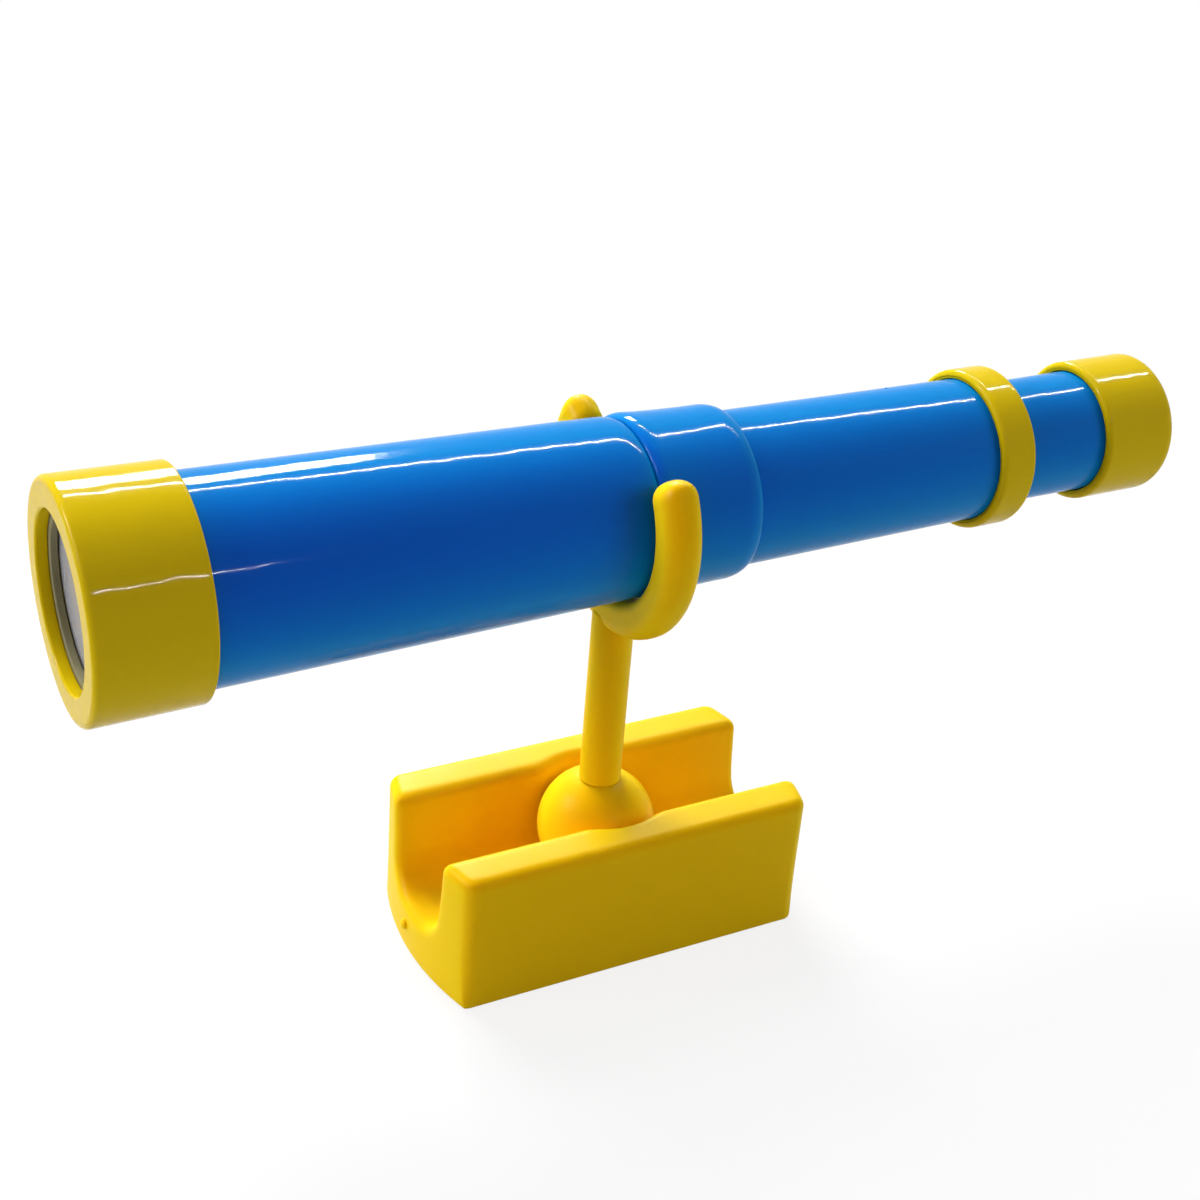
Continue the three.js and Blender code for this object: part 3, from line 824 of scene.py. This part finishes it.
STEM_EDGE = 0.5
stem_low, stem_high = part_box("stem")
STEM_RADIUS = (stem_high.x - stem_low.x) / 2 / MM
seat = BALL_RADIUS + RUN
stem_outline = []
for step in range(CURVE_STEPS + 1):
    reach_out = STEM_RADIUS * step / CURVE_STEPS
    stem_outline.append((math.sqrt(seat ** 2 - reach_out ** 2), reach_out))
stem_top = (stem_high.z - BALL_CENTRE.z) / MM
stem_foot = stem_outline[-1][0]
stem_outline += [(stem_foot + STEM_EDGE, STEM_RADIUS), (stem_top - STEM_EDGE, STEM_RADIUS)]
stem_outline += [(stem_top, STEM_RADIUS - STEM_EDGE), (stem_top, 0.0)]
stem = stand_up(turned("stem_moulding", stem_outline, SATIN_YELLOW, 0.0, segments=96))
place_piece(stem, "stem", "stem", slot="stand_yellow")

# %% [markdown]
# The clip is an open ring with soft edges and rounded prong tips. Its section is carried round the
# barrel from one tip to the other. Past each tip the section runs on straight and shrinks to a
# point, which makes the rounded end.

# %% Clip fork
CLIP_THICKNESS = 11.0
CLIP_INNER_ROUND = 3.0
CLIP_OUTER_ROUND = 4.8
CLIP_TIP = math.radians(28.5)  # above the level, where each prong's rounded tip starts
CLIP_STEPS = 72
TIP_STEPS = 14

clip_low, clip_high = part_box("clip_fork")
clip_width = (clip_high.x - clip_low.x) / MM
clip_outer = (clip_high.y - clip_low.y) / 2 / MM
clip_bore = clip_outer - CLIP_THICKNESS


def clip_section():
    half = clip_width / 2
    return rounded([
        (-half, clip_bore, CLIP_INNER_ROUND),
        (-half, clip_outer, CLIP_OUTER_ROUND),
        (half, clip_outer, CLIP_OUTER_ROUND),
        (half, clip_bore, CLIP_INNER_ROUND),
    ])


def clip_rings():
    """Rings of points from one prong tip round under the barrel to the other."""
    section = clip_section()
    middle = (clip_bore + clip_outer) / 2
    stretch = clip_width / 2
    tip = [math.sin(math.pi / 2 * step / TIP_STEPS) for step in range(1, TIP_STEPS + 1)]
    # each station has its share of the way round, its direction past a tip, and how far past it is
    stations = [(0.0, -1, past) for past in reversed(tip)]
    stations += [(step / CLIP_STEPS, 0, 0.0) for step in range(CLIP_STEPS + 1)]
    stations += [(1.0, 1, past) for past in tip]
    sweep = math.pi + 2 * CLIP_TIP
    rings = []
    for share, way, past in stations:
        turn = math.pi - CLIP_TIP + sweep * share
        outward = Vector((0.0, math.cos(turn), math.sin(turn)))
        onward = Vector((0.0, -math.sin(turn), math.cos(turn))) * way
        width = math.sqrt(max(0.0, 1 - past ** 2))
        depth = math.sqrt(max(0.0, 1 - past ** 4))
        ring = []
        for x, radius in section:
            level = middle + (radius - middle) * depth
            point = Vector((x * width, 0.0, AXIS)) + outward * level + onward * (past * stretch)
            ring.append(point * MM)
        rings.append(ring)
    return rings


def loft(name, rings, finish):
    """Skin over rings of points, with as many points in each."""
    count = len(rings[0])
    vertices = [point for ring in rings for point in ring]
    faces = []
    for row in range(len(rings) - 1):
        for column in range(count):
            following = (column + 1) % count
            faces.append((row * count + column, row * count + following,
                          (row + 1) * count + following, (row + 1) * count + column))
    made = mesh_object(name, vertices, faces)
    made.data.materials.append(finish)
    return finish_mesh(made, sharp_degrees=60)


clip = loft("clip_moulding", clip_rings(), SATIN_YELLOW)
place_piece(clip, "clip", "clip_fork", slot="stand_yellow")

# %% [markdown]
# The base is a bar with a channel along its top and bowed ends. It is made as a clean grid: the
# outside and the channel are carried along the bar, and rungs from one to the other close its tops
# and its ends. A bevel rounds the edges, with its weight set lower along the bottom, which is
# crisper.

# %% Base bar
BASE_BOW = 4.7
CHANNEL_TOP = 32.0
CHANNEL_FLOOR = 28.0
FLOOR_LEVEL = 15.5
FLOOR_ROUND = 11.0
BASE_EDGE = 3.2
BOTTOM_WEIGHT = 0.3
EDGE_DEGREES = 50  # sharper edges than this are rounded
EDGE_STEPS = 6
EDGE_ROW = 4.2  # millimetres from a top edge to the row below it, which leaves room for the bevel
WALL_STEPS = 18
FILLET_STEPS = 8
BED_STEPS = 8
RUNG_STEPS = 3
STATION_PARTS = 100  # parts of the bar's half length, in which the stations beside the ball are
BALL_STATIONS = 42  # such stations on each side of the middle
FAR_STATIONS = (0.5, 0.62, 0.74, 0.86, 1.0)
GROUND_SLACK = 1e-6  # metres above the ground that still count as the bottom

base_low, base_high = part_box("base_channel")
base_size = (base_high - base_low) / MM


def row_shares(length):
    """Shares of a wall's length at which its rows lie, from the top down."""
    first = EDGE_ROW / length
    return [0.0] + [first + (1 - first) * step / (WALL_STEPS - 1) for step in range(WALL_STEPS - 1)]


def channel_path():
    """Points down one wall of the channel, across its floor and up the other, as (y, z)."""
    top, bed = CHANNEL_TOP / 2, CHANNEL_FLOOR / 2
    corners = [(-top, base_size.z, 0), (-bed, FLOOR_LEVEL, FLOOR_ROUND), (0.0, FLOOR_LEVEL, 0)]
    corner = rounded(corners, FILLET_STEPS, is_closed=False)[2:-2]
    start = Vector((-top, base_size.z))
    wall = [start.lerp(corner[0], share) for share in row_shares((corner[0] - start).length)]
    middle = Vector((0.0, FLOOR_LEVEL))
    bed_half = [corner[-1].lerp(middle, step / BED_STEPS) for step in range(1, BED_STEPS + 1)]
    left = wall + corner + bed_half
    return left + [Vector((-point.x, point.y)) for point in reversed(left[:-1])]


def outside_path(count):
    """Points down one side, along the bottom and up the other side, as many as the channel has."""
    side = base_size.y / 2
    down = [Vector((-side, base_size.z * (1 - share))) for share in row_shares(base_size.z)]
    half = (count - 1) // 2 - WALL_STEPS
    bottom = [Vector((-side * (1 - step / half), 0.0)) for step in range(half + 1)]
    left = down + bottom
    return left + [Vector((-point.x, point.y)) for point in reversed(left[:-1])]


def bar_end(y):
    return base_size.x / 2 - BASE_BOW * (2 * y / base_size.y) ** 2


def bar_stations():
    """Places along the bar, as shares of its half length, closer together beside the ball."""
    near = [step / STATION_PARTS for step in range(-BALL_STATIONS, BALL_STATIONS + 1)]
    return [-share for share in reversed(FAR_STATIONS)] + near + list(FAR_STATIONS)


def base_bar():
    channel = channel_path()
    outside = outside_path(len(channel))
    stations = bar_stations()
    work = bmesh.new()
    weight = work.edges.layers.float.new("bevel_weight_edge")

    def point(share, place):
        return work.verts.new((share * bar_end(place.x) * MM, place.x * MM, place.y * MM))

    inner = [[point(share, place) for place in channel] for share in stations]
    outer = [[point(share, place) for place in outside] for share in stations]
    last = len(channel) - 1

    def rung(row, column):
        """Points from the outside to the channel at one place along the bar."""
        between = []
        for step in range(1, RUNG_STEPS):
            place = outside[column].lerp(channel[column], step / RUNG_STEPS)
            between.append(point(stations[row], place))
        return [outer[row][column]] + between + [inner[row][column]]

    tops = [{column: rung(row, column) for column in (0, last)} for row in range(len(stations))]
    for row in range(len(stations) - 1):
        for column in range(last):
            for grid in (inner, outer):
                work.faces.new((grid[row][column], grid[row][column + 1],
                                grid[row + 1][column + 1], grid[row + 1][column]))
        for column in (0, last):
            for step in range(RUNG_STEPS):
                here, following = tops[row][column], tops[row + 1][column]
                work.faces.new((here[step], here[step + 1], following[step + 1], following[step]))
    for row in (0, len(stations) - 1):
        rungs = [tops[row].get(column) or rung(row, column) for column in range(last + 1)]
        for column in range(last):
            for step in range(RUNG_STEPS):
                work.faces.new((rungs[column][step], rungs[column + 1][step],
                                rungs[column + 1][step + 1], rungs[column][step + 1]))
    bmesh.ops.recalc_face_normals(work, faces=work.faces)
    for edge in work.edges:
        if edge.calc_face_angle(0.0) > math.radians(EDGE_DEGREES):
            on_ground = max(corner.co.z for corner in edge.verts) < GROUND_SLACK
            edge[weight] = BOTTOM_WEIGHT if on_ground else 1.0
    mesh = bpy.data.meshes.new("base_moulding")
    work.to_mesh(mesh)
    work.free()
    made = bpy.data.objects.new("base_moulding", mesh)
    scene.collection.objects.link(made)
    bevel = made.modifiers.new("edges", "BEVEL")
    bevel.limit_method = "WEIGHT"
    bevel.width = BASE_EDGE * MM
    bevel.segments = EDGE_STEPS
    bevel.use_clamp_overlap = False
    return evaluated_mesh(made)


base = base_bar()
print("base bar", len(base.data.polygons), "faces")

# %% [markdown]
# The ball's pocket is pressed into the channel's walls and floor, so that its rim stays soft as on
# the moulding. Two countersunk screw holes then go through the floor.

# %% Ball pocket and screw holes
POCKET_LIP = 17.2  # radius of the lip that holds the ball, a little above its centre
POCKET_LIP_RISE = 4.0
POCKET_MOUTH = 19.4  # radius where the mouth opens at the top of the walls
POCKET_SOFTNESS = 2.0
POCKET_FADE = 10.0  # millimetres into the wall over which the push dies out
POCKET_RADIUS = BALL_RADIUS + RUN


def soft_excess(value, softness):
    """How far a length is above nothing, with a smooth start."""
    if value >= softness:
        return value
    return max(value + softness, 0.0) ** 2 / (4 * softness)


def pocket_radius(z):
    """Radius at a height: round below the ball's centre, then in to a lip, then out to a mouth."""
    level = BALL_CENTRE.z / MM
    if z < level:
        return math.sqrt(max(POCKET_RADIUS ** 2 - (level - z) ** 2, 0.0))
    lip_level = level + POCKET_LIP_RISE
    if z < lip_level:
        share = (z - level) / POCKET_LIP_RISE
        return POCKET_RADIUS + (POCKET_LIP - POCKET_RADIUS) * share
    share = (z - lip_level) / (base_size.z - lip_level)
    return POCKET_LIP + (POCKET_MOUTH - POCKET_LIP) * min(share, 1.0)


def press_pocket(made):
    """Pushes the channel's walls out round the ball, and their tops with them."""
    for vertex in made.data.vertices:
        x, y, z = (value / MM for value in vertex.co)
        wall_share = (z - FLOOR_LEVEL) / (base_size.z - FLOOR_LEVEL)
        wall = (CHANNEL_FLOOR + (CHANNEL_TOP - CHANNEL_FLOOR) * wall_share) / 2
        if wall_share <= 0 or abs(y) < wall / 2:
            continue
        fade = min(max(1 - (abs(y) - wall) / POCKET_FADE, 0.0), 1.0)
        reach_out = math.sqrt(max(pocket_radius(z) ** 2 - x ** 2, 0.0))
        push = soft_excess(reach_out - wall, POCKET_SOFTNESS) * fade
        vertex.co.y += math.copysign(push, y) * MM


def press_bowl(made):
    """Sinks the floor under the ball to the pocket's round bottom."""
    bowl = POCKET_RADIUS * MM
    for vertex in made.data.vertices:
        reach = vertex.co - BALL_CENTRE
        if reach.z < 0 and reach.length < bowl:
            vertex.co = BALL_CENTRE + reach.normalized() * bowl


press_pocket(base)
press_bowl(base)

HOLE_SPACING = 76.0
HOLE_RADIUS = 2.4
HEAD_RADIUS = 4.8
CUT_PAST = 1.0  # millimetres that the cutter runs past the skin


def screw_cutter(x):
    """Upright cutter for a countersunk hole at a place along the bar."""
    depth = HEAD_RADIUS - HOLE_RADIUS
    above = FLOOR_LEVEL + CUT_PAST
    outline = [(-CUT_PAST, 0.0), (-CUT_PAST, HOLE_RADIUS), (FLOOR_LEVEL - depth, HOLE_RADIUS)]
    outline += [(FLOOR_LEVEL, HEAD_RADIUS), (above, HEAD_RADIUS), (above, 0.0)]
    cutter = turned("screw_cutter", outline, SATIN_YELLOW, 0.0, segments=48)
    upright = Matrix.Rotation(-math.pi / 2, 4, "Y")
    cutter.data.transform(Matrix.Translation((x * MM, 0, 0)) @ upright)
    return cutter


for side in (-1, 1):
    cut_out(base, screw_cutter(side * HOLE_SPACING / 2))

base.data.materials.clear()
base.data.materials.append(SATIN_YELLOW)
finish_mesh(base, sharp_degrees=35)
place_piece(base, "base", "base_channel", slot="stand_yellow")

# %% [markdown]
# Two small marks of the moulding are left on the toy: the stub where the plastic entered the base's
# mould, on its left end below the channel, and a smaller one near the end of the middle tube.

# %% Gate marks
PIP_STEPS = 8
PIP_ROOT = 0.4  # millimetres that a mark is sunk into its piece


def gate_mark(name, place, direction, radius, height, finish):
    """Low dome on a piece's skin, pointing away from it."""
    outline = [(-PIP_ROOT, 0.0), (-PIP_ROOT, radius)]
    for step in range(PIP_STEPS + 1):
        bend = math.pi / 2 * step / PIP_STEPS
        outline.append((height * math.sin(bend), radius * math.cos(bend)))
    made = turned(name, outline, finish, 0.0, segments=32)
    turn = Vector((1, 0, 0)).rotation_difference(Vector(direction)).to_matrix().to_4x4()
    made.data.transform(Matrix.Translation(Vector(place) * MM) @ turn)
    return made


BASE_MARK_SIDE = 4.0
BASE_MARK_HEIGHT = 8.0
base_mark_place = (-bar_end(BASE_MARK_SIDE), BASE_MARK_SIDE, BASE_MARK_HEIGHT)
base_mark = gate_mark(
    "base_gate_mark", base_mark_place, (-1, 0, 0), radius=1.7, height=1.3, finish=SATIN_YELLOW)
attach(base_mark, "base")

TUBE_MARK_X = 89.0
TUBE_MARK_TURN = math.radians(19)  # from the top towards the far side
tube_share = (TUBE_MARK_X - collar_rear) / (middle_rear - collar_rear)
tube_radius = middle_radius + (MIDDLE_AT_RING - middle_radius) * tube_share
tube_outward = Vector((0.0, math.sin(TUBE_MARK_TURN), math.cos(TUBE_MARK_TURN)))
tube_mark_place = Vector((TUBE_MARK_X, 0.0, AXIS)) + tube_outward * tube_radius
tube_mark = gate_mark(
    "tube_gate_mark", tube_mark_place, tube_outward, radius=0.6, height=0.2, finish=GLOSS_BLUE)
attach(tube_mark, "middle")
print("gate marks:", base_mark.name, tube_mark.name)
